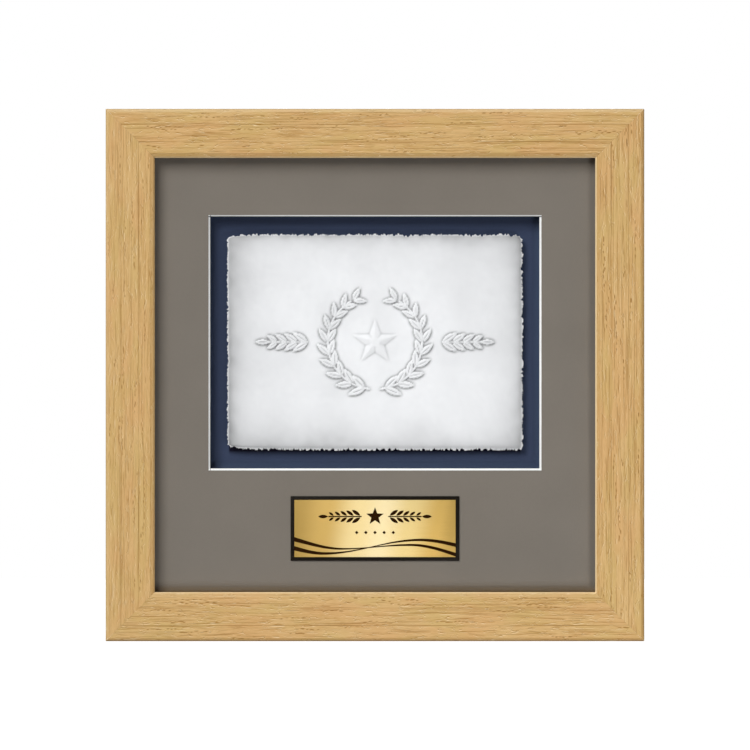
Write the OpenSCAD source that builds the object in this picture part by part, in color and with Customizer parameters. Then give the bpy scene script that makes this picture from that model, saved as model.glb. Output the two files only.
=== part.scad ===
// Framed award: a wooden shadow box that holds a floated sheet of deckled cast
// paper behind a window mat, with an engraved plaque on the mat below it.
// X runs to the viewer's right, the front faces -Y, and the frame stands on Z = 0.

/* [Frame] */
// Overall width of the frame
frame_w = 323.3; // [300:0.1:420]
// Overall height of the frame
frame_h = 319.5; // [300:0.1:420]
// Width of the moulding, seen from the front
rail_face_w = 29.35; // [26:0.05:33]
// Width of the rabbet that the glass and boards sit in
rabbet_w = 6.4; // [5.2:0.1:8]
// Thickness of the lip in front of the rabbet
lip_t = 6; // [5:0.5:9]
// Radius of the moulding's outer front edge
arris_r = 1.9; // [0.5:0.1:2.5]
// Width of the whole slope at the sight edge
sight_slope_w = 3; // [1.5:0.1:4.5]
// Depth of its gentle part
sight_slope_t = 1; // [0.4:0.1:2]
// Width of its steep part, next to the opening
sight_edge_w = 0.8; // [0.3:0.1:1.2]
// Depth of its steep part
sight_edge_t = 0.9; // [0.3:0.1:2]
// Distance of the inner scored line from the sight edge
inner_line_at = 9.5; // [6:0.5:12]
// Distance of the outer scored line from the sight edge
outer_line_at = 20; // [15:0.5:23]
// Width of a scored line
line_w = 0.5; // [0.3:0.1:1]
// Depth of a scored line
line_t = 0.3; // [0.2:0.05:0.8]

/* [Glass and boards] */
// Thickness of the glass
glass_t = 2; // [1.6:0.1:4]
// Gap all round between a board and the rabbet's wall
board_clear = 1.4; // [0.8:0.1:2]
// Thickness of the strips between the glass and the mat
glazing_spacer_t = 3.2; // [2.6:0.1:6]
// Width of the strips between the glass and the mat
glazing_spacer_w = 4.4; // [3:0.1:4.8]
// Thickness of the mat's coloured facing
facing_t = 0.2; // [0.1:0.1:0.8]
// Thickness of the mat's white core
core_t = 1.2; // [0.6:0.1:2]
// Thickness of the foam strips behind the mat
spacer_t = 9.5; // [8:0.1:16]
// How far the foam strips stay back from the mat's window
spacer_setback = 6; // [2:0.5:12]
// Thickness of the board behind the window
mount_t = 1.4; // [1:0.1:2.8]
// Thickness of the foam board at the back
backer_t = 4.8; // [3:0.1:8]
// Free depth between the foam board and the frame's back
back_room = 5.7; // [3:0.1:12]

/* [Mat window] */
// Width of the window at the mat's face
window_w = 200.6; // [185:0.1:215]
// Height of the window at the mat's face
window_h = 154; // [140:0.1:160]
// How far the window's middle is above the frame's middle
window_rise = 19.4; // [15:0.1:25]
// Slope of the window's cut edge, from straight through
bevel_angle = 45; // [30:1:55]

/* [Cast paper] */
// Width of the sheet
paper_w = 177.8; // [172:0.1:184]
// Height of the sheet
paper_h = 129.8; // [124:0.1:136]
// How far the sheet's middle is above the frame's middle
paper_rise = 19.8; // [15:0.1:25]
// Thickness of the sheet
paper_t = 2.4; // [1.2:0.1:3.2]
// Height of the raised design
relief_t = 1.2; // [0.3:0.1:1.6]
// Thickness of the block that floats the sheet
riser_t = 3.2; // [1.6:0.1:4]
// How far the block stays back from the sheet's edge
riser_setback = 14; // [6:1:40]
// Thickness of the tape on each side of the block
tape_t = 0.15; // [0.1:0.05:0.3]
// How far the ragged edge wanders
deckle_reach = 0.55; // [0.1:0.05:1]
// Spacing of the points along the ragged edge
deckle_step = 1.5; // [1:0.1:3]
// Size of the worn corners of the sheet
corner_wear = 2.2; // [0.5:0.1:5]

/* [Raised design] */
// Radius of the wreath's stem
wreath_r = 28.5; // [28:0.5:32]
// Pairs of leaves on each half of the wreath
wreath_pairs = 8; // [5:1:8]
// Length of a wreath leaf
leaf_l = 11; // [8:0.5:12]
// Width of a wreath leaf
leaf_w = 3.3; // [2:0.1:3.4]
// Width of a stem
stem_w = 1.1; // [0.6:0.1:2]
// Gap between a stem and the foot of a leaf
leaf_gap = 0.4; // [0.2:0.1:0.8]
// Point-to-centre radius of the star
star_r = 13; // [8:0.5:16]
// Length of the stem of a side sprig
sprig_l = 24; // [22:1:30]
// Gap between the wreath's leaves and a side sprig
sprig_gap = 3; // [1.5:0.5:8]
// Pairs of leaves on a side sprig
sprig_pairs = 3; // [1:1:3]

/* [Plaque] */
// Width of the black plate
plaque_w = 101.4; // [90:0.1:120]
// Height of the black plate
plaque_h = 38.8; // [34:0.1:46]
// Thickness of the black plate
plaque_t = 0.6; // [0.5:0.1:1]
// How far the plaque's middle is above the middle of the mat below the window
plaque_rise = 1.7; // [0:0.1:3]
// Width of the black border round the gold plate
plaque_border = 2.2; // [1:0.1:5]
// Thickness of the gold plate
gold_t = 0.4; // [0.3:0.1:0.8]
// Height of the dark lines on the gold plate
inlay_t = 0.08; // [0.05:0.01:0.2]
// Thickness of the tape behind the plaque
plaque_tape_t = 0.2; // [0.1:0.1:0.5]
// Length of a leaf of the engraved ornament
mark_leaf_l = 7; // [4:0.5:7.5]
// Radius of the ornament's star
mark_star_r = 5.5; // [3:0.5:6]
// Length of the stem of an engraved sprig
mark_sprig_l = 20; // [18:1:26]
// Pairs of leaves on an engraved sprig
mark_sprig_pairs = 5; // [2:1:5]
// Gap between the ornament's star and a sprig
mark_gap = 2.5; // [1:0.5:5]
// Size of a lozenge in the row below the sprigs
lozenge_size = 1.5; // [0.8:0.1:2]
// Spacing of the lozenges
lozenge_pitch = 5.5; // [3.5:0.5:8]
// Width of the wave lines at the left border
wave_left_w = 2.7; // [0.8:0.1:3]
// Width of the wave lines at the right border
wave_right_w = 2.3; // [0.8:0.1:3]
// Width of the wave lines at their finest
wave_mid_w = 0.5; // [0.3:0.1:0.8]
// How late the lines broaden towards the left border
wave_left_swell = 1.6; // [0.8:0.1:3]
// How late the lines broaden towards the right border
wave_right_swell = 1; // [0.8:0.1:3]

/* [Fasteners] */
// Length of one leg of a V-nail
vnail_leg = 5.5; // [4:0.5:6]
// Depth of a V-nail
vnail_h = 8; // [5:0.5:12]
// Thickness of a V-nail's steel
vnail_t = 0.6; // [0.4:0.1:1]
// How deep a V-nail sits below the frame's back
vnail_set = 0.5; // [0.2:0.1:1.5]
// Length of a framer's point
point_l = 14; // [12:0.5:16]
// Width of a framer's point
point_w = 9; // [6:0.5:12]
// Thickness of a framer's point
point_t = 0.7; // [0.4:0.1:1]
// How far a point is driven into the wood
point_bite = 7; // [5:0.5:8]
// Room round a piece that is driven into the wood
driven_clear = 0.05; // [0.02:0.01:0.1]

/* [Back] */
// How far the dust cover stays in from the frame's edge
cover_inset = 3.2; // [2:0.1:5]
// Thickness of the dust cover
cover_t = 0.2; // [0.1:0.05:0.4]
// Width of the dust cover's tape
cover_tape_w = 5; // [3:0.5:6]
// Thickness of the dust cover's tape
cover_tape_t = 0.1; // [0.05:0.05:0.2]
// Radius of a wall bumper
bumper_r = 6.3; // [4:0.1:7]
// How much further than the hangers the bumpers stand out
bumper_lead = 0.5; // [0.3:0.1:3]
// Distance of a bumper's middle from the frame's edges
bumper_inset = 13; // [12:0.5:15]

/* [Hangers] */
// Distance of the rings' hinges below the top of the frame
hanger_drop = 80; // [60:1:110]
// Width of a hanger's strap
strap_w = 10; // [8:0.1:11]
// Thickness of the strap's steel
strap_t = 0.9; // [0.6:0.1:1.1]
// Length of the strap from the hinge to its end
strap_l = 23; // [21:0.5:30]
// Radius of the ring's wire
wire_r = 1.1; // [0.8:0.1:1.3]
// Room round the wire in the strap's loop
hinge_clear = 0.1; // [0.05:0.01:0.2]
// Half the width of the ring, to the middle of its wire
ring_half_w = 7.5; // [7:0.1:8.5]
// Length of the ring's straight sides
ring_arm = 5; // [3:0.1:5.5]
// Distance of the screw below the hinge
screw_drop = 18; // [17.5:0.1:19]
// Radius of a hanger screw's shank
screw_r = 1.7; // [1.2:0.1:2]
// Radius of a hanger screw's head
screw_head_r = 3.3; // [2.6:0.1:3.6]
// Height of a hanger screw's head
screw_head_h = 2.1; // [1.5:0.1:2.3]
// Length of a hanger screw under its head
screw_l = 14; // [10:0.5:18]

/* [Hidden] */
$fn = 48;

// How far a cut runs past the face that it opens
overrun = 1;
mat_t = facing_t + core_t;
loop_r = wire_r + hinge_clear + strap_t;
bumper_t = 2 * loop_r + bumper_lead;

// Places along Y, counted from the front of the frame
glass_at = lip_t;
glazing_spacer_at = glass_at + glass_t;
mat_at = glazing_spacer_at + glazing_spacer_t;
spacer_at = mat_at + mat_t;
mount_at = spacer_at + spacer_t;
backer_at = mount_at + mount_t;
points_at = backer_at + backer_t;
rail_t = points_at + back_room;
cover_at = rail_t + cover_tape_t;
hanger_at = cover_at + cover_t;
whole_t = hanger_at + bumper_t;
front_y = -whole_t / 2;

// Places in the frame's width and height
sight_w = frame_w - 2 * rail_face_w;
sight_h = frame_h - 2 * rail_face_w;
mid_z = frame_h / 2;
board_w = sight_w + 2 * rabbet_w - 2 * board_clear;
board_h = sight_h + 2 * rabbet_w - 2 * board_clear;
rail_back_w = rail_face_w - rabbet_w;
window_z = mid_z + window_rise;
paper_z = mid_z + paper_rise;
plaque_z = (mid_z - sight_h / 2 + window_z - window_h / 2) / 2 + plaque_rise;
hanger_x = frame_w / 2 - rail_back_w / 2;
hinge_z = frame_h - hanger_drop;

// Places of the V-nails across the moulding's back, and of the points along a board
vnail_shares = [0.28, 0.64];
point_share = 0.3;

// The cast paper's place, from its back to the raised design
paper_back_at = mount_at - 2 * tape_t - riser_t;
paper_front_at = paper_back_at - paper_t;

// Wavelengths of the ragged edge and how much each adds
deckle_slow = 26;
deckle_mid = 7.6;
deckle_fine = 4.3;
deckle_shares = [0.4, 0.35, 0.25];

// The raised design: how far leaves lean from their stem, and how they shrink
leaf_lean = 34;
wreath_foot = 14;
wreath_mouth = 30;
sprig_taper_share = 0.45;
star_waist_share = 0.42;

// The ring rests on the strap, leaning out by this angle
ring_rest_gap = 0.15;
ring_reach = ring_arm + sqrt(pow(ring_half_w, 2) - pow(strap_w / 2, 2)) - wire_r;
ring_lean = asin((2 * strap_t + wire_r + ring_rest_gap - loop_r) / ring_reach);
fold_run = 5;
fold_angle = 118;

// A flat board or sheet, its front at the given depth and its middle z_mid high
module board(w, t, h, at, z_mid) {
    translate([-w / 2, front_y + at, z_mid - h / 2])
        cube([w, t, h]);
}

// Draws a flat shape seen from the front, at the given height, as a layer in depth
module layer(t, at, z_mid) {
    translate([0, front_y + at + t, z_mid])
        rotate([90, 0, 0])
            linear_extrude(t)
                children();
}

// Copies a shape to both sides of the frame
module both_sides() {
    for (side = [0, 1])
        mirror([side, 0, 0])
            children();
}

// Copies a shape made for the upper half to the lower half as well
module both_ends() {
    for (end = [0, 1])
        translate([0, 0, mid_z])
            mirror([0, 0, end])
                translate([0, 0, -mid_z])
                    children();
}

// One of four strips round a board's edge, w holding the widths of top, bottom and sides
module strip(edge, w, t, at) {
    top = mid_z + board_h / 2;
    bottom = mid_z - board_h / 2;
    if (edge == "top")
        board(board_w, t, w[0], at, top - w[0] / 2);
    if (edge == "bottom")
        board(board_w, t, w[1], at, bottom + w[1] / 2);
    if (edge == "left" || edge == "right")
        mirror([edge == "left" ? 1 : 0, 0, 0])
            translate([board_w / 2 - w[2], front_y + at, bottom + w[1]])
                cube([w[2], t, board_h - w[0] - w[1]]);
}

// The moulding's section: X from its outer edge inwards, Y from its front backwards
module rail_section() {
    difference() {
        square([rail_face_w, rail_t]);
        translate([rail_back_w, lip_t])
            square([rabbet_w + overrun, rail_t]);
        polygon([
            [rail_face_w - sight_slope_w, 0],
            [rail_face_w - sight_edge_w, sight_slope_t],
            [rail_face_w, sight_slope_t + sight_edge_t],
            [rail_face_w + overrun, sight_slope_t + sight_edge_t],
            [rail_face_w + overrun, -overrun],
            [rail_face_w - sight_slope_w, -overrun]
        ]);
        difference() {
            translate([-overrun, -overrun])
                square(arris_r + overrun);
            translate([arris_r, arris_r])
                circle(arris_r);
        }
        for (line_at = [inner_line_at, outer_line_at])
            translate([rail_face_w - line_at - line_w / 2, -overrun])
                square([line_w, line_t + overrun]);
    }
}

// A bottom rail across the given length, mitred at both ends
module mitred_rail(length) {
    intersection() {
        rotate([0, -90, 0])
            linear_extrude(length, center = true)
                rail_section();
        translate([0, rail_t + overrun, 0])
            rotate([90, 0, 0])
                linear_extrude(rail_t + 2 * overrun)
                    polygon([
                        [-length / 2 - overrun, -overrun],
                        [length / 2 + overrun, -overrun],
                        [length / 2 - rail_face_w - overrun, rail_face_w + overrun],
                        [-length / 2 + rail_face_w + overrun, rail_face_w + overrun]
                    ]);
    }
}

// One rail in its place, with the slots and holes of all that is driven into it
module rail(turn) {
    length = turn % 180 == 0 ? frame_w : frame_h;
    across = turn % 180 == 0 ? frame_h : frame_w;
    difference() {
        translate([0, front_y, mid_z])
            rotate([0, turn, 0])
                translate([0, 0, -across / 2])
                    mitred_rail(length);
        vnail_group(driven_clear);
        point_group(driven_clear);
        both_sides()
            screw_hole();
    }
}

module rail_bottom() { color("burlywood") rail(0); }
module rail_left() { color("burlywood") rail(90); }
module rail_top() { color("burlywood") rail(180); }
module rail_right() { color("burlywood") rail(270); }

// Two V-nails in each corner: the legs lie in the two rails, the point on the mitre
module vnail_group(clear) {
    // A slot is open to the back, a nail ends below it
    reach = vnail_h + clear + (clear > 0 ? vnail_set + overrun : 0);
    both_sides()
        both_ends()
            for (share = vnail_shares)
                translate([
                    frame_w / 2 - share * rail_back_w,
                    front_y + rail_t - vnail_set - vnail_h - clear,
                    frame_h - share * rail_back_w
                ]) {
                    translate([-vnail_leg - clear, 0, -vnail_t / 2 - clear])
                        cube([vnail_leg + vnail_t / 2 + 2 * clear, reach, vnail_t + 2 * clear]);
                    translate([-vnail_t / 2 - clear, 0, -vnail_leg - clear])
                        cube([vnail_t + 2 * clear, reach, vnail_leg + vnail_t / 2 + 2 * clear]);
                }
}

module corner_vnails() { color("silver") vnail_group(0); }

// Two framer's points on each rail, half in the wood and half over the foam board
module point_group(clear) {
    wall_x = sight_w / 2 + rabbet_w;
    wall_z = mid_z + sight_h / 2 + rabbet_w;
    both_sides()
        both_ends() {
            translate([
                wall_x + point_bite - point_l - clear,
                front_y + points_at - clear,
                mid_z + point_share * board_h - point_w / 2 - clear
            ])
                cube([point_l + 2 * clear, point_t + 2 * clear, point_w + 2 * clear]);
            translate([
                point_share * board_w - point_w / 2 - clear,
                front_y + points_at - clear,
                wall_z + point_bite - point_l - clear
            ])
                cube([point_w + 2 * clear, point_t + 2 * clear, point_l + 2 * clear]);
        }
}

module framer_points() { color("silver") point_group(0); }

module glazing() {
    color("lightcyan", 0.3)
        board(board_w, glass_t, board_h, glass_at, mid_z);
}

// One of the strips between the glass and the mat, hidden under the lip
module glazing_strip(edge) {
    color("dimgray")
        strip(
            edge,
            [glazing_spacer_w, glazing_spacer_w, glazing_spacer_w],
            glazing_spacer_t,
            glazing_spacer_at
        );
}

module glazing_spacer_top() { glazing_strip("top"); }
module glazing_spacer_bottom() { glazing_strip("bottom"); }
module glazing_spacer_left() { glazing_strip("left"); }
module glazing_spacer_right() { glazing_strip("right"); }

// Room cut by the bevelled window: it closes in as it goes back
module window_cut() {
    // How far the cut closes in for each unit of depth
    run = tan(bevel_angle);
    from_w = window_w / 2 + overrun * run;
    to_w = window_w / 2 - (mat_t + overrun) * run;
    from_h = window_h / 2 + overrun * run;
    to_h = window_h / 2 - (mat_t + overrun) * run;
    translate([0, front_y + mat_at, window_z])
        intersection() {
            linear_extrude(2 * from_h, center = true)
                polygon([
                    [-from_w, -overrun], [from_w, -overrun],
                    [to_w, mat_t + overrun], [-to_w, mat_t + overrun]
                ]);
            rotate([0, -90, 0])
                linear_extrude(2 * from_w, center = true)
                    polygon([
                        [-from_h, -overrun], [from_h, -overrun],
                        [to_h, mat_t + overrun], [-to_h, mat_t + overrun]
                    ]);
        }
}

module window_mat_facing() {
    color([0.48, 0.46, 0.42])
        difference() {
            board(board_w, facing_t, board_h, mat_at, mid_z);
            window_cut();
        }
}

module window_mat_core() {
    color("white")
        difference() {
            board(board_w, core_t, board_h, mat_at + facing_t, mid_z);
            window_cut();
        }
}

// One of the foam strips between the mat and the board behind the window
module foam_strip(edge) {
    color("whitesmoke")
        strip(
            edge,
            [
                mid_z + board_h / 2 - window_z - window_h / 2 - spacer_setback,
                window_z - window_h / 2 - mid_z + board_h / 2 - spacer_setback,
                board_w / 2 - window_w / 2 - spacer_setback
            ],
            spacer_t,
            spacer_at
        );
}

module spacer_top() { foam_strip("top"); }
module spacer_bottom() { foam_strip("bottom"); }
module spacer_left() { foam_strip("left"); }
module spacer_right() { foam_strip("right"); }

module mount_board() {
    color([0.2, 0.25, 0.36])
        board(board_w, mount_t, board_h, mount_at, mid_z);
}

riser_w = paper_w - 2 * riser_setback;
riser_h = paper_h - 2 * riser_setback;

module float_riser() {
    color("whitesmoke")
        board(riser_w, riser_t, riser_h, paper_back_at + tape_t, paper_z);
}

module riser_tapes() {
    color("ivory")
        for (at = [paper_back_at, mount_at - tape_t])
            board(riser_w, tape_t, riser_h, at, paper_z);
}

// How far the ragged edge stands out, s along side k
function wander(s, k) = deckle_reach * (
    deckle_shares[0] * sin(360 * s / deckle_slow + 70 * k)
    + deckle_shares[1] * sin(360 * s / deckle_mid + 40 * k)
    + deckle_shares[2] * sin(360 * s / deckle_fine + 110 * k));

// Points along one side of the sheet: place along it, and how far it stands out
function side_run(length, k) =
    let (n = round(length / deckle_step))
    [for (i = [0 : n]) let (s = length * (i / n - 0.5)) [s, wander(s, k)]];

// The whole ragged outline, anticlockwise from the lower left
function sheet_outline(w, h, wear) = concat(
    [for (p = side_run(w - 2 * wear, 1)) [p[0], -h / 2 - p[1]]],
    [for (p = side_run(h - 2 * wear, 2)) [w / 2 + p[1], p[0]]],
    [for (p = side_run(w - 2 * wear, 3)) [-p[0], h / 2 + p[1]]],
    [for (p = side_run(h - 2 * wear, 4)) [-w / 2 - p[1], -p[0]]]);

// A pointed leaf along +X from its foot
module leaf(l, w) {
    // Radius of the arcs that meet at the leaf's two ends
    r = (pow(l, 2) + pow(w, 2)) / (4 * w);
    intersection() {
        translate([l / 2, r - w / 2])
            circle(r, $fn = 60);
        translate([l / 2, w / 2 - r])
            circle(r, $fn = 60);
    }
}

module star(r) {
    polygon([for (i = [0 : 9])
        let (reach = i % 2 == 0 ? r : r * star_waist_share)
        [reach * sin(36 * i), reach * cos(36 * i)]]);
}

// How far along its own line a leaf starts, to stand clear of the stem
leaf_start = (stem_w / 2 + leaf_gap) / sin(leaf_lean);

// A pair of leaves at a point of a stem that runs along +X
module leaf_pair(l, w) {
    for (turn = [-leaf_lean, leaf_lean])
        rotate(turn)
            translate([leaf_start, 0])
                leaf(l - leaf_start, w);
}

// A straight sprig along +X: leaves in pairs that shrink towards its tip
module sprig(l, pairs) {
    translate([0, -stem_w / 2])
        square([l, stem_w]);
    translate([l + leaf_gap, 0])
        leaf(leaf_l - leaf_start, leaf_w);
    for (i = [0 : pairs - 1])
        let (size = 1 - sprig_taper_share * i / pairs)
            translate([l * i / pairs, 0])
                leaf_pair(leaf_l * size, leaf_w * size);
}

// Half of the wreath, on the right: it rises from the foot to the open mouth
module wreath_half() {
    sweep = 180 - wreath_foot - wreath_mouth;
    from = wreath_foot - 90;
    for (i = [0 : wreath_pairs - 1])
        rotate(from + sweep * i / (wreath_pairs - 1))
            translate([wreath_r, 0])
                rotate(90)
                    leaf_pair(leaf_l, leaf_w);
    // The stem is an arc of the wreath's circle, cut out by a wedge from its middle
    intersection() {
        difference() {
            circle(wreath_r + stem_w / 2);
            circle(wreath_r - stem_w / 2);
        }
        polygon(concat([[0, 0]], [for (share = [0 : 0.25 : 1])
            let (turn = from - wreath_foot / 2 + (sweep + wreath_foot / 2) * share)
            [2 * wreath_r * cos(turn), 2 * wreath_r * sin(turn)]]));
    }
}

module relief_shape() {
    star(star_r);
    both_sides()
        wreath_half();
    sprig_from = wreath_r + leaf_l * sin(leaf_lean) + leaf_w / 2 + sprig_gap;
    both_sides()
        translate([sprig_from, 0])
            sprig(sprig_l, sprig_pairs);
}

module cast_paper() {
    color("snow") {
        layer(paper_t, paper_front_at, paper_z)
            polygon(sheet_outline(paper_w, paper_h, corner_wear));
        layer(relief_t + paper_t / 2, paper_front_at - relief_t, paper_z)
            relief_shape();
    }
}

// The plaque's layers, from the mat forwards
plaque_back_at = mat_at - plaque_tape_t - plaque_t;
gold_at = plaque_back_at - gold_t;
inlay_at = gold_at - inlay_t;
gold_w = plaque_w - 2 * plaque_border;
gold_h = plaque_h - 2 * plaque_border;

module plaque_tape() {
    color("ivory")
        board(gold_w, plaque_tape_t, gold_h, mat_at - plaque_tape_t, plaque_z);
}

module plaque_back() {
    color([0.12, 0.1, 0.09])
        board(plaque_w, plaque_t, plaque_h, plaque_back_at, plaque_z);
}

module plaque_face() {
    color("goldenrod")
        board(gold_w, gold_t, gold_h, gold_at, plaque_z);
}

// Where each wave line turns: place across the gold plate from 0 to 1, and height from its
// middle, as shares of its width and height. The two lines cross left of the middle.
falling_wave_shares = [[-0.2, -0.1], [0.3, -0.355], [0.72, -0.287], [1.25, -0.6]];
rising_wave_shares = [[-0.17, -0.27], [0.19, -0.436], [0.78, -0.2], [1.25, -0.4]];
wave_steps = 36;

// Height share of a wave line at u, eased between the turns on its two sides
function wave_share(u, turns) =
    let (
        i = u < turns[1][0] ? 0 : (u < turns[2][0] ? 1 : 2),
        along = (u - turns[i][0]) / (turns[i + 1][0] - turns[i][0])
    )
    turns[i][1] + (turns[i + 1][1] - turns[i][1]) * (1 - cos(180 * along)) / 2;

// Half the width of a wave line at u: broad at the borders and fine in the middle
function wave_half(u) =
    let (left = u < 0.5,
         end_w = left ? wave_left_w : wave_right_w,
         swell = left ? wave_left_swell : wave_right_swell)
    (wave_mid_w + (end_w - wave_mid_w) * pow(abs(2 * u - 1), swell)) / 2;

module wave(turns) {
    polygon(concat(
        [for (i = [0 : wave_steps])
            let (u = i / wave_steps)
            [gold_w * (u - 0.5), gold_h * wave_share(u, turns) - wave_half(u)]],
        [for (i = [wave_steps : -1 : 0])
            let (u = i / wave_steps)
            [gold_w * (u - 0.5), gold_h * wave_share(u, turns) + wave_half(u)]]));
}

// Height of the engraved star and sprigs, and of the row of lozenges, as shares of the plate
mark_rise_share = 0.21;
lozenge_rise_share = -0.07;

module inlay_shape() {
    wave(falling_wave_shares);
    wave(rising_wave_shares);
    translate([0, mark_rise_share * gold_h]) {
        star(mark_star_r);
        both_sides()
            translate([mark_star_r + mark_gap, 0])
                scale(mark_leaf_l / leaf_l)
                    sprig(mark_sprig_l * leaf_l / mark_leaf_l, mark_sprig_pairs);
    }
    for (i = [-2 : 2])
        translate([i * lozenge_pitch, lozenge_rise_share * gold_h])
            rotate(45)
                square(lozenge_size, center = true);
}

module plaque_inlay() {
    color([0.2, 0.14, 0.08])
        layer(inlay_t, inlay_at, plaque_z)
            inlay_shape();
}

module backer_board() {
    color("whitesmoke")
        board(board_w, backer_t, board_h, backer_at, mid_z);
}

cover_w = frame_w - 2 * cover_inset;
cover_h = frame_h - 2 * cover_inset;

module dust_cover() {
    color("peru")
        difference() {
            board(cover_w, cover_t, cover_h, cover_at, mid_z);
            both_sides()
                screw_hole();
        }
}

module dust_cover_tapes() {
    color("ivory")
        both_sides()
            both_ends() {
                translate([0, front_y + rail_t, mid_z + cover_h / 2 - cover_tape_w])
                    cube([cover_w / 2, cover_tape_t, cover_tape_w]);
                translate([cover_w / 2 - cover_tape_w, front_y + rail_t, mid_z])
                    cube([cover_tape_w, cover_tape_t, cover_h / 2 - cover_tape_w]);
            }
}

// Puts a shape at the right hanger: X across, Y out from the dust cover, Z up from the hinge
module at_hanger() {
    translate([hanger_x, front_y + hanger_at, hinge_z])
        children();
}

// The strap from the side: X up from the hinge, Y out from the dust cover
module strap_section() {
    difference() {
        union() {
            translate([0, loop_r])
                circle(loop_r);
            translate([-strap_l, 0])
                square([strap_l, strap_t]);
            translate([-strap_l, strap_t])
                square([strap_l - fold_run, strap_t]);
            polygon([
                [-fold_run, strap_t],
                [(loop_r - strap_t) * cos(fold_angle), loop_r + (loop_r - strap_t) * sin(fold_angle)],
                [loop_r * cos(fold_angle), loop_r + loop_r * sin(fold_angle)],
                [-fold_run, 2 * strap_t]
            ]);
        }
        translate([0, loop_r])
            circle(wire_r + hinge_clear);
    }
}

module strap() {
    difference() {
        intersection() {
            rotate([0, -90, 0])
                linear_extrude(strap_w, center = true)
                    strap_section();
            translate([0, 2 * loop_r + overrun, 0])
                rotate([90, 0, 0])
                    linear_extrude(2 * loop_r + 2 * overrun) {
                        translate([0, -strap_l + strap_w / 2])
                            circle(d = strap_w);
                        translate([-strap_w / 2 - overrun, -strap_l + strap_w / 2])
                            square([strap_w + 2 * overrun, strap_l + loop_r]);
                    }
        }
        translate([0, -overrun, -screw_drop])
            rotate([-90, 0, 0])
                cylinder(r = screw_r + 2 * hinge_clear, h = 2 * strap_t + 2 * overrun);
    }
}

module hanger_strap_right() { color("silver") at_hanger() strap(); }
module hanger_strap_left() { color("silver") mirror([1, 0, 0]) at_hanger() strap(); }

// The D-shaped ring, hanging down on the strap
module ring() {
    translate([0, loop_r, 0])
        rotate([ring_lean, 0, 0]) {
            rotate([0, 90, 0])
                cylinder(r = wire_r, h = 2 * ring_half_w, center = true);
            for (side = [-1, 1])
                translate([side * ring_half_w, 0, 0]) {
                    sphere(wire_r);
                    translate([0, 0, -ring_arm])
                        cylinder(r = wire_r, h = ring_arm);
                }
            translate([0, 0, -ring_arm])
                rotate([-90, 0, 0])
                    rotate_extrude(angle = 180)
                        translate([ring_half_w, 0])
                            circle(wire_r);
        }
}

module hanger_ring_right() { color("gainsboro") at_hanger() ring(); }
module hanger_ring_left() { color("gainsboro") mirror([1, 0, 0]) at_hanger() ring(); }

// The screw's head: height of its dome, width of its flat top, and reach and width of its cross
head_dome_share = 0.45;
head_top_share = 0.7;
cross_reach_share = 0.6;
cross_arm_share = 0.12;

module screw() {
    difference() {
        union() {
            translate([0, 2 * strap_t, 0])
                rotate([-90, 0, 0])
                    rotate_extrude()
                        polygon([
                            [0, 0], [screw_head_r, 0],
                            [screw_head_r, screw_head_h * (1 - head_dome_share)],
                            [screw_head_r * head_top_share, screw_head_h], [0, screw_head_h]
                        ]);
            translate([0, 2 * strap_t - screw_l, 0])
                rotate([-90, 0, 0])
                    cylinder(r = screw_r, h = screw_l);
            // The point
            translate([0, 2 * strap_t - screw_l, 0])
                rotate([90, 0, 0])
                    cylinder(r1 = screw_r, r2 = 0, h = screw_r);
        }
        for (turn = [0, 90])
            rotate([0, turn, 0])
                translate([
                    -cross_reach_share * screw_head_r,
                    2 * strap_t + screw_head_h * (1 - head_dome_share),
                    -cross_arm_share * screw_head_r
                ])
                    cube([
                        2 * cross_reach_share * screw_head_r,
                        screw_head_h,
                        2 * cross_arm_share * screw_head_r
                    ]);
    }
}

module hanger_screws() {
    color("silver")
        both_sides()
            at_hanger()
                translate([0, 0, -screw_drop])
                    screw();
}

// The hole that a hanger screw cuts through the cover and into the rail
module screw_hole() {
    depth = screw_l + screw_r - 2 * strap_t + driven_clear;
    at_hanger()
        translate([0, -depth, -screw_drop])
            rotate([-90, 0, 0])
                cylinder(r = screw_r + driven_clear, h = depth + overrun);
}

bumper_round_share = 0.18;

module wall_bumpers() {
    color("dimgray")
        both_sides()
            translate([frame_w / 2 - bumper_inset, front_y + hanger_at, bumper_inset])
                rotate([-90, 0, 0])
                    rotate_extrude()
                        polygon([
                            [0, 0], [bumper_r, 0],
                            [bumper_r, bumper_t * (1 - bumper_round_share)],
                            [bumper_r - bumper_t * bumper_round_share, bumper_t],
                            [0, bumper_t]
                        ]);
}

rail_top();
rail_bottom();
rail_left();
rail_right();
corner_vnails();
glazing();
glazing_spacer_top();
glazing_spacer_bottom();
glazing_spacer_left();
glazing_spacer_right();
window_mat_facing();
window_mat_core();
spacer_top();
spacer_bottom();
spacer_left();
spacer_right();
mount_board();
float_riser();
riser_tapes();
cast_paper();
plaque_back();
plaque_face();
plaque_inlay();
plaque_tape();
backer_board();
framer_points();
dust_cover();
dust_cover_tapes();
hanger_strap_left();
hanger_strap_right();
hanger_ring_left();
hanger_ring_right();
hanger_screws();
wall_bumpers();
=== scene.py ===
import math

import bmesh
import bpy
import numpy as np
from mathutils import Matrix, Vector, noise


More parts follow.
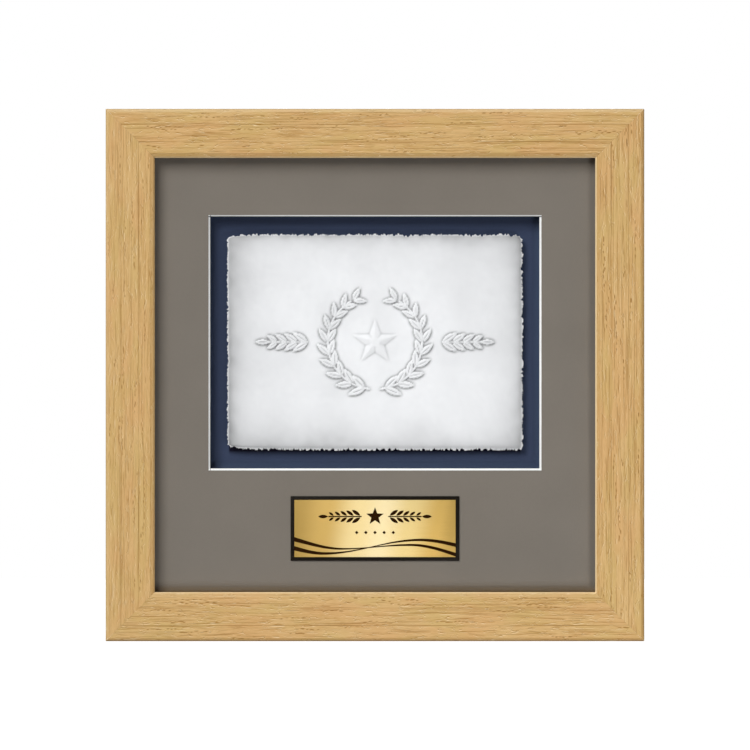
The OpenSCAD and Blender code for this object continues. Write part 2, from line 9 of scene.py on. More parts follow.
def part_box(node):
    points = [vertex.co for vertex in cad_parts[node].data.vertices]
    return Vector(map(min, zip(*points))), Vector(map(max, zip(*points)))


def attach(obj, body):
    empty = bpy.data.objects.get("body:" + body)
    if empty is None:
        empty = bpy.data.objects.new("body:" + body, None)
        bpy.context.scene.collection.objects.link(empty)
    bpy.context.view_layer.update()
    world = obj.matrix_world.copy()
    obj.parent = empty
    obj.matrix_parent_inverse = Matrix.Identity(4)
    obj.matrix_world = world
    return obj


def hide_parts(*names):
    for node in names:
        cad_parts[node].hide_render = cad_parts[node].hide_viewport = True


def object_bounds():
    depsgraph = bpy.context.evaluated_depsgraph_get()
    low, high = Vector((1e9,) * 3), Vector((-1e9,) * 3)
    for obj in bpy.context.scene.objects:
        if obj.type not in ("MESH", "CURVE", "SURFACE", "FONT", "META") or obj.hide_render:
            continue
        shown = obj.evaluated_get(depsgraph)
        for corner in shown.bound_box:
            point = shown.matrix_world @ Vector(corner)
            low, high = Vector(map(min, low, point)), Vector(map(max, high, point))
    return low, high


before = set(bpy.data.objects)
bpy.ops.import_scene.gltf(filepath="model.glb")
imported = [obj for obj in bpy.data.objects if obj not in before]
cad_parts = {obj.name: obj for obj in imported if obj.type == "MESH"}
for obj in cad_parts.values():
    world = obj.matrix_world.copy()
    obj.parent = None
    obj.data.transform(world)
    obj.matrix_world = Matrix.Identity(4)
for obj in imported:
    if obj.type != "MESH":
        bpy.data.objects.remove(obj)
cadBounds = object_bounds()
print("frame loaded:", len(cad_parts), "nodes")

mm = 0.001


# Camera: the photograph looks straight at the frame, with next to no perspective

viewShot = {
    "imagePixels": 750,
    "frameLeft": 105.6,  # pixel columns of the frame's outer edges
    "frameRight": 644.4,
    "lens": 400.0,
    "sensor": 36.0,
    "farClip": 4,  # times the camera's distance
}


def addObject(name, data):
    item = bpy.data.objects.new(name, data)
    bpy.context.scene.collection.objects.link(item)
    return item


def makeCamera(shot):
    low, high = cadBounds
    pixelSize = (high.x - low.x) / (shot["frameRight"] - shot["frameLeft"])
    distance = shot["imagePixels"] * pixelSize * shot["lens"] / shot["sensor"]
    data = bpy.data.cameras.new("photoCamera")
    data.lens = shot["lens"]
    data.sensor_width = shot["sensor"]
    data.clip_end = shot["farClip"] * distance
    camera = addObject("photoCamera", data)
    camera.location = ((low.x + high.x) / 2, low.y - distance, (low.z + high.z) / 2)
    camera.rotation_euler = (math.radians(90), 0, 0)
    bpy.context.scene.camera = camera


makeCamera(viewShot)
print("camera made")


# Materials: small helpers, then one function for each finish, beside its dictionary.
# A noise is given as its scale (one number, or one for each axis), detail and roughness.

noiseSpread = (0.3, 0.7)  # nearly all values of a noise lie between these


def startMaterial(name):
    material = bpy.data.materials.new(name)
    material.use_nodes = True
    return material, material.node_tree


def feed(tree, node, inputs):
    # Links each input to a socket, or sets it to a constant
    for key, value in inputs.items():
        if isinstance(value, bpy.types.NodeSocket):
            tree.links.new(value, node.inputs[key])
        else:
            node.inputs[key].default_value = value


def add(tree, kind, inputs=None, **settings):
    node = tree.nodes.new("ShaderNode" + kind)
    for key, value in settings.items():
        setattr(node, key, value)
    feed(tree, node, inputs or {})
    return node


def place(tree, scale=(1, 1, 1), shift=(0, 0, 0)):
    coordinates = add(tree, "TexCoord")
    settings = {"Vector": coordinates.outputs["Object"], "Scale": scale, "Location": shift}
    return add(tree, "Mapping", settings).outputs["Vector"]


def axesOf(tree, scale=(1, 1, 1)):
    return add(tree, "SeparateXYZ", {0: place(tree, scale)}).outputs


def attribute(tree, name):
    return add(tree, "Attribute", attribute_name=name).outputs["Fac"]


def noiseOf(tree, scale, detail, rough, shift=(0, 0, 0)):
    even = not isinstance(scale, tuple)
    vector = place(tree, (1, 1, 1) if even else scale, shift)
    settings = {"Vector": vector, "Scale": scale if even else 1, "Detail": detail, "Roughness": rough}
    return add(tree, "TexNoise", settings).outputs["Fac"]


def grey(value):
    return (value, value, value)


def opaque(colour):
    return (*colour, 1.0)


def ramp(tree, factor, stops, smooth=False):
    node = add(tree, "ValToRGB", {"Fac": factor})
    band = node.color_ramp
    band.interpolation = "EASE" if smooth else "LINEAR"
    while len(band.elements) < len(stops):
        band.elements.new(0.5)
    for element, (position, colour) in zip(band.elements, stops):
        element.position = position
        element.color = opaque(colour)
    return node.outputs["Color"]


def twoTone(tree, factor, first, second):
    return ramp(tree, factor, list(zip(noiseSpread, (first, second))))


def remap(tree, value, fromLow, fromHigh, toLow=0.0, toHigh=1.0):
    settings = {"Value": value, "From Min": fromLow, "From Max": fromHigh,
                "To Min": toLow, "To Max": toHigh}
    return add(tree, "MapRange", settings).outputs["Result"]


def mixColour(tree, factor, first, second, blend="MIX"):
    node = add(tree, "Mix", {0: factor, 6: first, 7: second}, data_type="RGBA", blend_type=blend)
    return node.outputs[2]


def mathOf(tree, operation, first, second=0.0):
    return add(tree, "Math", {0: first, 1: second}, operation=operation).outputs[0]


def average(tree, first, second, share):
    # The share counts for the first of the two
    return mathOf(tree, "ADD", mathOf(tree, "MULTIPLY", first, share),
                  mathOf(tree, "MULTIPLY", second, 1 - share))


def surface(tree, look, colour, height, roughNoise=None):
    # The roughness is one value, or a pair that a noise goes between; the height is for the bump
    roughness = look["roughness"]
    if roughNoise:
        roughness = remap(tree, roughNoise, *noiseSpread, *roughness)
    bump = add(tree, "Bump", {
        "Height": height, "Distance": look.get("depth", 0.02 * mm),
        "Strength": look.get("bumpStrength", 1.0),
    })
    feed(tree, tree.nodes["Principled BSDF"], {
        "Base Color": colour, "Roughness": roughness, "Specular IOR Level": look.get("gloss", 0.5),
        "Metallic": look.get("metallic", 0.0), "Normal": bump.outputs["Normal"],
    })


oakLook = {
    "light": (0.71, 0.474, 0.212),
    "middle": (0.642, 0.409, 0.166),
    "dark": (0.54, 0.318, 0.105),
    "ruddy": (0.67, 0.375, 0.155),
    "olive": (0.60, 0.425, 0.150),
    "line": (0.36, 0.155, 0.004),
    "highlightLine": (0.92, 0.75, 0.46),
    "groove": (0.23, 0.096, 0.0),
    "worn": (0.84, 0.68, 0.42),
    "stops": {"dark": 0.33, "middle": 0.49, "light": 0.66},
    # Noises: scale per metre across the grain and along it, detail and roughness
    "streaks": (700.0, 36.0, 3, 0.6),
    "fibres": (2200.0, 230.0, 2, 0.6),
    "broad": (120.0, 8.0, 2, 0.5),
    "patches": (70.0, 24.0, 2, 0.5),
    "tints": (110.0, 30.0, 2, 0.5),
    "lines": (400.0, 16.0, 2, 0.5),
    "shortLines": (620.0, 110.0, 2, 0.5),
    "breaks": (420.0, 150.0, 2, 0.5),
    "streakShare": 0.42,  # the rest of the tone is fibres
    # Clouds of colour: noise, colour, the noise's turn, the value it starts at, its most share
    "clouds": (
        ("broad", "light", 0.0, 0.38, 0.3),
        ("patches", "ruddy", 0.0, 0.45, 0.4),
        ("tints", "olive", 7.0, 0.48, 0.4),
    ),
    "cloudEnd": 0.62,
    "lineTurns": (("lines", 2.0), ("shortLines", 9.0)),
    "lineSpread": 0.020,
    "lineStrength": 0.72,
    "highlightStrength": 0.70,
    "highlightAside": 0.45 * mm,  # painted highlight: a pale line lies this far beside each dark one, below it on the top and bottom rails and right of it on the side rails
    "breakTurn": 5,
    "breakRange": (0.50, 0.58),
    "grooveDarkness": 0.80,
    "wornShare": 0.7,
    "roughness": (0.70, 0.55),
    "gloss": 0.12,
    "depth": 0.05 * mm,
}


def makeOak(name, alongX, shift, contrast):
    look = oakLook
    material, tree = startMaterial(name)

    def grain(key, turn=0.0, aside=0.0):
        across, along, detail, rough = look[key]
        scale = (along, across, across) if alongX else (across, across, along)
        spot = [value + turn for value in shift]
        spot[2 if alongX else 0] += aside * across * (1 if alongX else -1)
        return noiseOf(tree, scale, detail, rough, spot)

    def thinLines(key, turn, aside):
        # Where a stretched noise passes its middle value, broken up by a second one
        level = mathOf(tree, "SUBTRACT", grain(key, turn, aside), 0.5)
        thin = remap(tree, mathOf(tree, "ABSOLUTE", level), 0.0, look["lineSpread"], 1.0, 0.0)
        broken = grain("breaks", turn + look["breakTurn"], aside)
        return mathOf(tree, "MULTIPLY", thin, remap(tree, broken, *look["breakRange"]))

    def bothLines(aside, strength):
        lines = [thinLines(key, turn, aside) for key, turn in look["lineTurns"]]
        return mathOf(tree, "MULTIPLY", mathOf(tree, "MAXIMUM", *lines), strength * contrast)

    streaks = grain("streaks")
    fibres = grain("fibres")
    tone = average(tree, streaks, fibres, look["streakShare"])
    wood = ramp(tree, tone, [(at, look[key]) for key, at in look["stops"].items()])
    for key, colour, turn, start, most in look["clouds"]:
        share = remap(tree, grain(key, turn), start, look["cloudEnd"], 0.0, most)
        wood = mixColour(tree, share, wood, opaque(look[colour]))
    # Painted highlight: pale lines beside the dark ones, where a groove's lit wall would be
    pale = bothLines(look["highlightAside"], look["highlightStrength"])
    dark = bothLines(0.0, look["lineStrength"])
    # The grain attribute darkens the grooves, and also holds painted shade on the rails' edges and slopes
    sunk = mathOf(tree, "MULTIPLY", attribute(tree, "grain"), look["grooveDarkness"] * min(contrast, 1.0))
    # Pale edge tone: partly real wear, partly painted highlight on the edges that face the light
    worn = mathOf(tree, "MULTIPLY", attribute(tree, "wear"), look["wornShare"])
    for share, key in ((pale, "highlightLine"), (dark, "line"), (sunk, "groove"), (worn, "worn")):
        wood = mixColour(tree, share, wood, opaque(look[key]))
    height = mathOf(tree, "SUBTRACT", mathOf(tree, "ADD", fibres, streaks), dark)
    surface(tree, look, wood, height, fibres)
    return material


matLook = {
    "fibre": (1400, 4, 0.65),
    "cloud": (25, 2, 0.5),
    "fibreShare": 0.5,
    "stops": [(0.35, (0.185, 0.1625, 0.138)), (0.65, (0.205, 0.180, 0.153))],
    # Painted shade with a brown cast of light bounced off the oak, where the mat meets the bottom lip: the
    # colour share that is left, from the lip upwards
    "footShade": [(0.0, (0.66, 0.46, 0.24)), (0.22, (0.95, 0.81, 0.62)), (0.55, (0.85, 0.82, 0.78)),
                  (1.0, grey(1.0))],
    "footReach": 7.5 * mm,
    "roughness": 0.92,
    "gloss": 0.2,
}


def makeMatFacing(sightLow):
    look = matLook
    material, tree = startMaterial("greyFacing")
    fibre = noiseOf(tree, *look["fibre"])
    cloud = noiseOf(tree, *look["cloud"])
    colour = ramp(tree, average(tree, fibre, cloud, look["fibreShare"]), look["stops"])
    # Painted shade along the bottom lip
    fromLip = remap(tree, axesOf(tree)["Z"], sightLow, sightLow + look["footReach"])
    colour = mixColour(tree, 1.0, colour, ramp(tree, fromLip, look["footShade"]), "MULTIPLY")
    surface(tree, look, colour, fibre)
    return material


coreLook = {
    "fibre": (2600, 3, 0.6),
    "colours": ((0.86, 0.86, 0.85), (0.93, 0.93, 0.92)),
    "shade": (0.02, 0.022, 0.03),  # painted shadow on the bevel's innermost strip at the top and the left
    # Where the bevel ends at the window's top (Z) and left (X), and how wide the strip is there
    "strips": {"Z": (254.75 * mm, 0.42 * mm), "X": (98.9 * mm, 0.2 * mm)},
    "shadeStart": (0.12 * mm, 0.012 * mm),  # it begins and is full this far before the bevel's end
    "shadeEnd": 0.12 * mm,
    "roughness": 0.9,
}


def makeMatCore():
    look = coreLook
    material, tree = startMaterial("whiteCore")
    fibre = noiseOf(tree, *look["fibre"])
    colour = twoTone(tree, fibre, *look["colours"])
    where = axesOf(tree, (-1, 1, 1))  # X is turned round, so it grows to the left
    begins, full = look["shadeStart"]
    # Painted shadow on the inner strip of the top and left bevels
    for axis, (edge, wide) in look["strips"].items():
        onBevel = remap(tree, where[axis], edge - begins, edge - full)
        strip = remap(tree, where[axis], edge + wide, edge + wide + look["shadeEnd"], 1.0, 0.0)
        share = mathOf(tree, "MULTIPLY", onBevel, strip)
        colour = mixColour(tree, share, colour, opaque(look["shade"]))
    surface(tree, look, colour, fibre)
    return material


boardLook = {
    "fibre": (1500, 4, 0.65),
    "colours": ((0.034, 0.046, 0.088), (0.0435, 0.0585, 0.108)),
    "shade": (0.005, 0.004, 0.013),  # painted shadow under the sheet's foot
    "shadeReach": 3.5 * mm,
    "shadeEnd": 1.0 * mm,  # how softly it ends at the sheet's sides and behind it
    "lit": (1.36, 1.42, 1.33),  # painted light: times the plain colour, well below and right of the sheet
    "litFrom": 5.2 * mm,
    "litReach": 3.0 * mm,
    "roughness": 0.9,
    "gloss": 0.1,
}


def makeNavyBoard(sheetLow, sheetHigh):
    look = boardLook
    material, tree = startMaterial("navyBoard")
    fibre = noiseOf(tree, *look["fibre"])
    colour = twoTone(tree, fibre, *look["colours"])
    where = axesOf(tree)

    # Painted shadow: a dark band under the sheet's foot, no wider than the sheet
    end = look["shadeEnd"]
    halfWidth = (sheetHigh.x - sheetLow.x) / 2
    under = remap(tree, where["Z"], sheetLow.z - look["shadeReach"], sheetLow.z)
    behind = remap(tree, where["Z"], sheetLow.z + 3 * end, sheetLow.z + 4 * end, 1.0, 0.0)
    band = mathOf(tree, "MULTIPLY", mathOf(tree, "POWER", under, 2.0), behind)
    sideways = mathOf(tree, "ABSOLUTE", mathOf(tree, "SUBTRACT", where["X"], sheetLow.x + halfWidth))
    within = remap(tree, sideways, halfWidth - 2 * end, halfWidth - end, 1.0, 0.0)
    share = mathOf(tree, "MULTIPLY", band, within)
    colour = mixColour(tree, share, colour, opaque(look["shade"]))

    # Painted light: a lighter stretch along the window's foot and right side
    start, full = look["litFrom"], look["litFrom"] + look["litReach"]
    below = remap(tree, where["Z"], sheetLow.z - full, sheetLow.z - start, 1.0, 0.0)
    beside = remap(tree, where["X"], sheetHigh.x + start, sheetHigh.x + full)
    outer = mathOf(tree, "MAXIMUM", below, beside)
    colour = mixColour(tree, outer, colour, opaque(look["lit"]), "MULTIPLY")
    surface(tree, look, colour, fibre)
    return material


foamLook = {
    "beadScale": 900.0,
    "stops": [(0.0, grey(0.9)), (0.8, grey(0.82))],
    "roughness": 0.8,
    "depth": 0.08 * mm,
}


def makeFoamBoard():
    # White, with the small beads that show at a foam board's cut edges
    look = foamLook
    material, tree = startMaterial("foamBoard")
    beads = add(tree, "TexVoronoi", {"Vector": place(tree), "Scale": look["beadScale"]})
    distance = beads.outputs["Distance"]
    surface(tree, look, ramp(tree, distance, look["stops"]), distance)
    return material


paperLook = {
    "pulp": (260, 5, 0.7),
    "fine": (1800, 3, 0.6),
    "cloud": (42, 3, 0.6),
    "colours": ((0.835, 0.835, 0.855), (0.875, 0.875, 0.892)),
    "cloudTone": (-0.03, 0.03),
    "fineHeight": 0.4,
    "roughness": 0.9,
    "gloss": 0.15,
    "depth": 0.10 * mm,
    "bumpStrength": 0.6,
}


def makeCastPaper():
    look = paperLook
    material, tree = startMaterial("castPaper")
    pulp, fine, cloud = (noiseOf(tree, *look[key]) for key in ("pulp", "fine", "cloud"))
    clean = twoTone(tree, pulp, *look["colours"])
    clouds = remap(tree, cloud, *noiseSpread, *look["cloudTone"])
    # The tone attribute holds the sheet's greying and pale rim, and painted shade in the design's hollows
    tone = mathOf(tree, "ADD", attribute(tree, "tone"), clouds)
    toneColour = ramp(tree, tone, [(0.0, grey(0.0)), (1.0, grey(1.0))])
    colour = mixColour(tree, 1.0, clean, toneColour, "MULTIPLY")
    height = mathOf(tree, "ADD", pulp, mathOf(tree, "MULTIPLY", fine, look["fineHeight"]))
    surface(tree, look, colour, height)
    return material


glassLook = {
    "clear": (0.995, 0.998, 0.996),
    "mirror": grey(1.0),
    "roughness": 0.02,
    "index": 1.12,
}


def makeGlass():
    # Thin low-reflection picture glass: light goes straight through, the rest is mirrored
    look = glassLook
    material, tree = startMaterial("pictureGlass")
    tree.nodes.remove(tree.nodes["Principled BSDF"])
    clear = add(tree, "BsdfTransparent", {"Color": opaque(look["clear"])})
    mirror = add(tree, "BsdfGlossy", {"Color": opaque(look["mirror"]), "Roughness": look["roughness"]})
    edge = add(tree, "Fresnel", {"IOR": look["index"]}).outputs["Fac"]
    both = add(tree, "MixShader", {0: edge, 1: clear.outputs[0], 2: mirror.outputs[0]})
    feed(tree, tree.nodes["Material Output"], {"Surface": both.outputs[0]})
    return material


blackLook = {
    "brush": ((60, 4000, 4000), 3, 0.6),
    "colours": ((0.008, 0.006, 0.004), (0.013, 0.010, 0.007)),
    "roughness": (0.38, 0.5),
    "gloss": 0.04,
    "depth": 0.004 * mm,
}


def makeBlackPlate():
    look = blackLook
    material, tree = startMaterial("blackPlate")
    brush = noiseOf(tree, *look["brush"])
    surface(tree, look, twoTone(tree, brush, *look["colours"]), brush, brush)
    return material


goldLook = {
    # Colour along the plate, from its left edge to its right: a painted reflection, bright across the middle
    # and darker towards both ends
    "stops": [
        (0.0, (0.41, 0.262, 0.065)), (0.2, (0.60, 0.392, 0.115)), (0.4, (0.85, 0.665, 0.32)),
        (0.55, (0.91, 0.75, 0.43)), (0.72, (0.80, 0.61, 0.26)), (0.9, (0.64, 0.415, 0.115)),
        (1.0, (0.49, 0.315, 0.08)),
    ],
    # At the plate's foot and at its top: share of that colour, a painted shade that leaves the top darker
    # than the foot, and how far the bands lean
    "shade": (1.07, 0.94),
    "lean": (0.045, -0.02),
    "brush": ((40, 5000, 5000), 3, 0.6),
    "wobble": (-0.015, 0.015),  # of the bands' edges, with the brushing
    "roughness": (0.50, 0.60),
    "metallic": 0.22,
    "gloss": 0.15,
    "depth": 0.002 * mm,
}


def makeGoldPlate(low, high):
    look = goldLook
    material, tree = startMaterial("goldPlate")
    where = axesOf(tree)
    lean, shade = (remap(tree, where["Z"], low.z, high.z, *look[key]) for key in ("lean", "shade"))
    along = mathOf(tree, "ADD", remap(tree, where["X"], low.x, high.x), lean)
    brush = noiseOf(tree, *look["brush"])
    along = mathOf(tree, "ADD", along, remap(tree, brush, *noiseSpread, *look["wobble"]))
    # Painted reflection along the plate, and painted shade from its foot to its top
    colour = mixColour(tree, 1.0, ramp(tree, along, look["stops"], smooth=True), shade, "MULTIPLY")
    surface(tree, look, colour, brush, brush)
    return material


kraftLook = {
    "fibre": ((900, 900, 2200), 5, 0.7),
    "cloud": (60, 4, 0.6),
    "fibreShare": 0.6,
    "stops": [(0.3, (0.39, 0.235, 0.115)), (0.5, (0.48, 0.305, 0.16)), (0.7, (0.55, 0.37, 0.205))],
    "roughness": 0.85,
    "depth": 0.03 * mm,
}


def makeKraft():
    look = kraftLook
    material, tree = startMaterial("kraftPaper")
    fibre = noiseOf(tree, *look["fibre"])
    cloud = noiseOf(tree, *look["cloud"])
    colour = ramp(tree, average(tree, fibre, cloud, look["fibreShare"]), look["stops"])
    surface(tree, look, colour, fibre)
    return material


# Plain finishes: two near colours over a fine noise
sides = ("top", "bottom", "left", "right")
plainLooks = {
    "steel": {
        "colours": ((0.42, 0.42, 0.43), (0.56, 0.56, 0.57)), "spots": (900, 4, 0.6),
        "roughness": (0.30, 0.40), "metallic": 1.0,
        "nodes": ("corner_vnails", "framer_points"),
    },
    "zincPlate": {
        "colours": ((0.50, 0.51, 0.53), (0.66, 0.67, 0.69)), "spots": (500, 4, 0.6),
        "roughness": (0.25, 0.35), "metallic": 1.0, "depth": 0.005 * mm,
        "nodes": ("hanger_strap_left", "hanger_strap_right", "hanger_ring_left", "hanger_ring_right",
                  "hanger_screws"),
    },
    "doubleTape": {
        "colours": ((0.72, 0.68, 0.55), (0.82, 0.78, 0.66)), "spots": (500, 4, 0.6),
        "roughness": (0.35, 0.45),
        "nodes": ("riser_tapes", "plaque_tape", "dust_cover_tapes"),
    },
    "bumperRubber": {
        "colours": ((0.025, 0.025, 0.026), (0.05, 0.05, 0.052)), "spots": (1200, 4, 0.6),
        "roughness": (0.65, 0.75),
        "nodes": ("wall_bumpers",),
    },
    "spacerPlastic": {
        "colours": (grey(0.02), grey(0.035)), "spots": (800, 4, 0.6),
        "roughness": (0.40, 0.50),
        "nodes": ["glazing_spacer_" + side for side in sides],
    },
    "darkEnamel": {
        "colours": ((0.019, 0.006, 0.0004), (0.028, 0.010, 0.001)), "spots": (1500, 4, 0.6),
        "roughness": (0.55, 0.65), "gloss": 0.01,
        "nodes": ("plaque_inlay",),
    },
}


def makePlain(name, look):
    material, tree = startMaterial(name)
    spots = noiseOf(tree, *look["spots"])
    surface(tree, look, twoTone(tree, spots, *look["colours"]), spots, spots)
    return material


# Mesh helpers

def finishPiece(bm, name, material, body, replaced, sharpAngle):
    for edge in bm.edges:
        if len(edge.link_faces) == 2:
            edge.smooth = edge.calc_face_angle(0.0) < math.radians(sharpAngle)
    for face in bm.faces:
        face.smooth = True
    mesh = bpy.data.meshes.new(name)
    bm.to_mesh(mesh)
    bm.free()
    piece = addObject(name, mesh)
    mesh.materials.append(material)
    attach(piece, body)
    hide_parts(*replaced)


def boundaryOf(bm):
    return [edge for edge in bm.edges if edge.is_boundary]


def sortMesh(bm):
    # Extruding lists its results in no fixed order, so the mesh is put in the same one each run
    def corners(item):
        return sorted(vertex.index for vertex in item.verts)

    for items, key in ((bm.verts, lambda vertex: tuple(vertex.co)), (bm.edges, corners), (bm.faces, corners)):
        for rank, item in enumerate(sorted(items, key=key)):
            item.index = rank
        items.sort()


def dress(node, material):
    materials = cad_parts[node].data.materials
    materials.clear()
    materials.append(material)


def gridOf(bm, columns, rows):
    # A flat grid, with each vertex's column and row
    bmesh.ops.create_grid(bm, x_segments=columns, y_segments=rows, size=0.5)
    return [
        (vertex, round((vertex.co.x + 0.5) * columns), round((vertex.co.y + 0.5) * rows))
        for vertex in bm.verts
    ]


# Rails: one moulding swept along each side, with brushed grain in its face and mitred ends

railShape = {
    "lip": 6.0 * mm,
    "rabbet": 6.4 * mm,
    "arris": 1.9 * mm,
    "arrisSteps": 6,
    # Slope at the sight edge: distance from the opening and depth at each of its corners
    "slope": ((3.0 * mm, 0.0), (0.8 * mm, 1.0 * mm), (0.0, 1.9 * mm)),
    "sightShares": (0.15, 0.5, 0.85, 1.0),  # points down the slope's steep part
    "faceStep": 0.25 * mm,
    "lengthStep": 1.1 * mm,
    "mitreGap": 0.03 * mm,
    "mergeWithin": 0.001 * mm,
    "mitreWithin": 0.0001 * mm,
    "sharpAngle": 40,
    # The two scored lines: distance from the sight edge, and the steady and the changing part
    # of their strength
    "scored": (9.5 * mm, 20.0 * mm),
    "scoreWidth": 0.45 * mm,
    "scoreDepth": 0.28 * mm,
    "scoreStrength": (0.55, 0.75),
    "scoreNoise": (22, 999),  # along the line, and from line to line
    # Brushed-out grain: count, mean length and its spread, bow, width and depth of the grooves
    "grooves": 430,
    "grooveLength": 14.0 * mm,
    "grooveSpread": 0.75,
    "grooveBow": 0.25,
    "grooveWidth": (0.14 * mm, 0.30 * mm),
    "grooveDepth": (0.03 * mm, 0.20 * mm),
    # Chains of pits in the grain, with gaps, sway and lengths in mm
    "pitChains": 34,
    "pitsInChain": (2, 9),
    "pitGap": (1.4, 4.5),
    "pitSway": 0.35,
    "pitLength": (1.0, 2.6),
    "pitWidth": 0.33 * mm,
    "pitDepth": 0.42 * mm,
    "pitSpread": (0.5, 1.0),
    "burr": 0.16 * mm,  # raised fibres beside a pit
    "burrAway": 2.0,  # in pit widths
    "burrShare": 0.6,
    # The rest of the face: its depth below the plain moulding, a fine unevenness and its noise
    "faceDepth": 0.10 * mm,
    "faceRough": 0.022 * mm,
    "faceNoise": (1500, 14),
    "faceEase": 0.8 * mm,  # the carving dies away over this at the sight edge
    "slopeShare": 0.5,  # and is this much as deep on the slope
    "fullShade": 0.26 * mm,  # depth at which a groove is at its darkest
    "edgeBand": 0.4 * mm,
    "edgePaintedShade": 0.34,  # painted shade along the outermost edge
    "slopePaintedShade": 0.26,  # painted shade on the slope at the sight edge
}


def railSection(width, depth, shape):
    # Points round the moulding: from its outer edge inwards, and from its front backwards
    arris = shape["arris"]
    points = [(0.0, depth), (0.0, depth * 0.5), (0.0, arris)]
    for step in range(1, shape["arrisSteps"] + 1):
        turn = math.radians(90 * step / shape["arrisSteps"])
        points.append((arris * (1 - math.cos(turn)), arris * (1 - math.sin(turn))))
    (slopeWidth, _), (edgeWidth, slopeDepth), (_, edgeDepth) = shape["slope"]
    slopeStart = width - slopeWidth
    steps = round((slopeStart - arris) / shape["faceStep"])
    for step in range(1, steps):
        points.append((arris + (slopeStart - arris) * step / steps, 0.0))
    steps = round((slopeWidth - edgeWidth) / shape["faceStep"])
    for step in range(steps + 1):
        share = step / steps
        points.append((slopeStart + (slopeWidth - edgeWidth) * share, slopeDepth * share))
    for share in shape["sightShares"]:
        points.append((width - edgeWidth * (1 - share), slopeDepth + (edgeDepth - slopeDepth) * share))
    points += [
        (width, shape["lip"]), (width - shape["rabbet"], shape["lip"]),
        (width - shape["rabbet"], depth), (width * 0.4, depth),
    ]
    return points


def brushedDepth(inward, along, width, seed):
    # Depth of the brushed grain on a grid of places across and along one rail
    shape = railShape
    draw = np.random.default_rng(seed)
    depth = np.zeros((len(along), len(inward)))
    ridge = np.zeros_like(depth)
    reach = along[-1] - along[0]

    def cut(middle, across, length, half, deep, bow, burr):
        rows = np.abs(along - middle) < length / 2
        if not rows.any():
            return
        run = (along[rows] - middle) / length
        centre = across + bow * np.sin(3 * run + seed)
        taper = np.sqrt(np.clip(1 - (2 * run) ** 2, 0, 1))
        away = (inward[None, :] - centre[:, None]) / half
        depth[rows] = np.maximum(depth[rows], deep * taper[:, None] * np.exp(-away ** 2))
        if burr:
            beside = np.exp(-(np.abs(away) - shape["burrAway"]) ** 2)
            ridge[rows] = np.maximum(ridge[rows], burr * taper[:, None] * beside)

    for _ in range(shape["grooves"]):
        length = shape["grooveLength"] * math.exp(draw.normal(0, shape["grooveSpread"]))
        cut(draw.uniform(-0.5, 0.5) * reach, draw.uniform(0, width), length,
            draw.uniform(*shape["grooveWidth"]), draw.uniform(*shape["grooveDepth"]),
            draw.normal(0, shape["grooveBow"]) * mm, 0.0)
    for _ in range(shape["pitChains"]):
        middle, across = draw.uniform(-0.5, 0.5) * reach, draw.uniform(0, width)
        for _ in range(draw.integers(*shape["pitsInChain"])):
            middle += draw.uniform(*shape["pitGap"]) * mm
            cut(middle, across + draw.normal(0, shape["pitSway"]) * mm,
                draw.uniform(*shape["pitLength"]) * mm, shape["pitWidth"],
                shape["pitDepth"] * draw.uniform(*shape["pitSpread"]), 0.0, shape["burr"])
    return depth, ridge


def scoredDepth(toEdge, along, width, seed):
    # The deeper of the two scored lines at a place on a rail's face
    shape = railShape
    steady, changing = shape["scoreStrength"]
    alongNoise, lineNoise = shape["scoreNoise"]
    depths = []
    for scored in shape["scored"]:
        away = abs(width - scored - toEdge) / shape["scoreWidth"]
        level = noise.noise(Vector((along * alongNoise, scored * lineNoise, seed)))
        depths.append(shape["scoreDepth"] * (steady + changing * level) * (1 - away))
    return max(depths)


